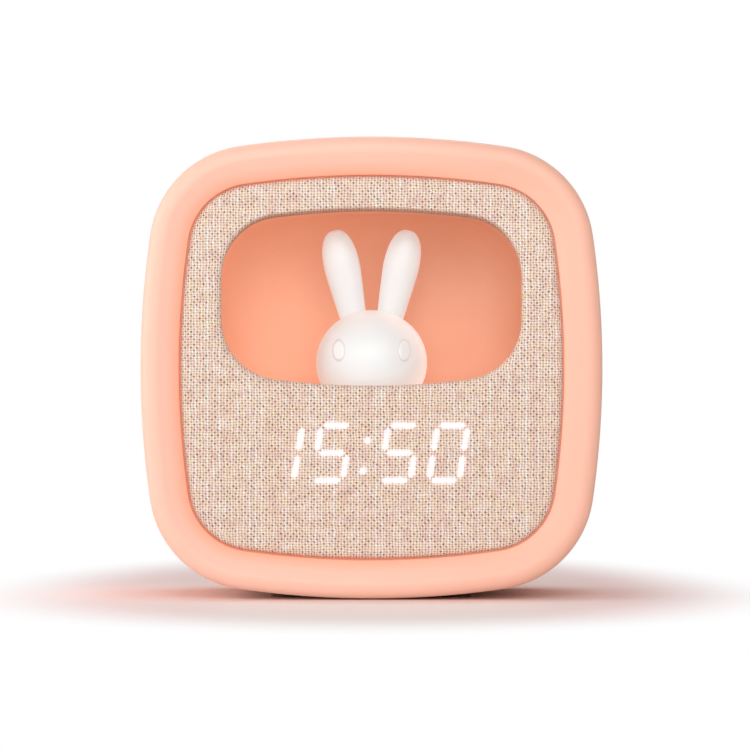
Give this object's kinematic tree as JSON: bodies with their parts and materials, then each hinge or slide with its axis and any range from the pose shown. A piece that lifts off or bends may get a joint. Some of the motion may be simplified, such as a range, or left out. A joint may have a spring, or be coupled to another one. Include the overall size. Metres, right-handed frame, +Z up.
{
  "type": "alarm clock with night light",
  "caption": "Soft square tabletop alarm clock: cloth front, number display glowing through the cloth, and a niche holding a rabbit-shaped night light.",
  "frame": {"origin": "on the table under the middle of the clock", "axes": "+X to the viewer's right, -Y out of the front, +Z up"},
  "size_m": [0.15, 0.072, 0.1504],
  "materials": {
    "casing_peach": "soft matt peach moulding",
    "niche_peach": "smooth matt peach bowl",
    "cloth": "woven cream and mauve cloth",
    "silicone_white": "satin white silicone",
    "inner_plastic": "plain white moulding",
    "film": "milky diffuser film",
    "digit_light": "glowing white light bars",
    "digit_dark": "unlit light bars",
    "circuit_board": "green laminate",
    "lamp_chip": "light chips",
    "black_resin": "black moulded resin",
    "plated_metal": "bright plated metal",
    "magnet_steel": "plated magnet",
    "cone_paper": "pressed paper cone",
    "screw_steel": "zinc plated steel",
    "button_peach": "pale peach buttons",
    "cell_jacket": "plain dark cell jacket",
    "rubber_foot": "dark rubber",
    "lead_film": "flat flexible lead"
  },
  "bodies": {
    "casing": {"front_housing": "casing_peach", "rear_cover": "casing_peach", "panel_frame": "inner_plastic", "cloth_cover": "cloth", "niche": "niche_peach", "rabbit_lamp": "silicone_white", "rabbit_ear_left": "silicone_white", "rabbit_ear_right": "silicone_white", "lamp_clamp_ring": "inner_plastic", "night_light_board": "circuit_board", "night_light_chips": "lamp_chip", "display_reflector": "inner_plastic", "display_film": "film", "display_bars_lit": "digit_light", "display_bars_dark": "digit_dark", "display_board": "circuit_board", "display_chips": "lamp_chip", "main_board": "circuit_board", "controller_chip": "black_resin", "quartz_crystal": "plated_metal", "button_switches": "black_resin", "slide_switch": "black_resin", "power_socket": "plated_metal", "speaker_basket": "black_resin", "speaker_magnet": "magnet_steel", "speaker_cone": "cone_paper", "contact_plates": "plated_metal", "contact_springs": "plated_metal", "display_lead": "lead_film", "lamp_lead": "lead_film", "battery_1": "cell_jacket", "battery_2": "cell_jacket", "battery_3": "cell_jacket", "foot_front_left": "rubber_foot", "foot_front_right": "rubber_foot", "foot_rear_left": "rubber_foot", "foot_rear_right": "rubber_foot", "panel_screws": "screw_steel", "niche_screws": "screw_steel", "display_screws": "screw_steel", "board_screws": "screw_steel", "speaker_screws": "screw_steel", "casing_screws": "screw_steel", "lamp_screws": "screw_steel"},
    "time_key": {"time_button": "button_peach", "time_plunger": "black_resin"},
    "alarm_key": {"alarm_button": "button_peach", "alarm_plunger": "black_resin"},
    "down_key": {"down_button": "button_peach", "down_plunger": "black_resin"},
    "up_key": {"up_button": "button_peach", "up_plunger": "black_resin"},
    "sound_key": {"sound_button": "button_peach", "sound_plunger": "black_resin"},
    "light_key": {"light_button": "button_peach", "light_plunger": "black_resin"},
    "slider": {"alarm_slider": "inner_plastic"},
    "door": {"battery_door": "casing_peach"},
    "captive_screw": {"door_screw": "screw_steel"}
  },
  "joints": [
    {"name": "time_press", "type": "slide", "parent": "casing", "child": "time_key", "axis": [0, -1, 0], "range_m": [0, 0.0008], "stiffness_N_per_m": 400},
    {"name": "alarm_press", "type": "slide", "parent": "casing", "child": "alarm_key", "axis": [0, -1, 0], "range_m": [0, 0.0008], "stiffness_N_per_m": 400},
    {"name": "down_press", "type": "slide", "parent": "casing", "child": "down_key", "axis": [0, -1, 0], "range_m": [0, 0.0008], "stiffness_N_per_m": 400},
    {"name": "up_press", "type": "slide", "parent": "casing", "child": "up_key", "axis": [0, -1, 0], "range_m": [0, 0.0008], "stiffness_N_per_m": 400},
    {"name": "sound_press", "type": "slide", "parent": "casing", "child": "sound_key", "axis": [0, -1, 0], "range_m": [0, 0.0008], "stiffness_N_per_m": 400},
    {"name": "light_press", "type": "slide", "parent": "casing", "child": "light_key", "axis": [0, -1, 0], "range_m": [0, 0.0008], "stiffness_N_per_m": 400},
    {"name": "alarm_slide", "type": "slide", "parent": "casing", "child": "slider", "axis": [1, 0, 0], "range_m": [0, 0.003]},
    {"name": "door_lift", "type": "slide", "parent": "casing", "child": "door", "axis": [0, 1, 0], "range_m": [0, 0.015]},
    {"name": "screw_turn", "type": "hinge", "parent": "door", "child": "captive_screw", "pos_m": [0, 0.0335, 0.06165], "axis": [0, 1, 0], "range_deg": [-720, 0]}
  ]
}
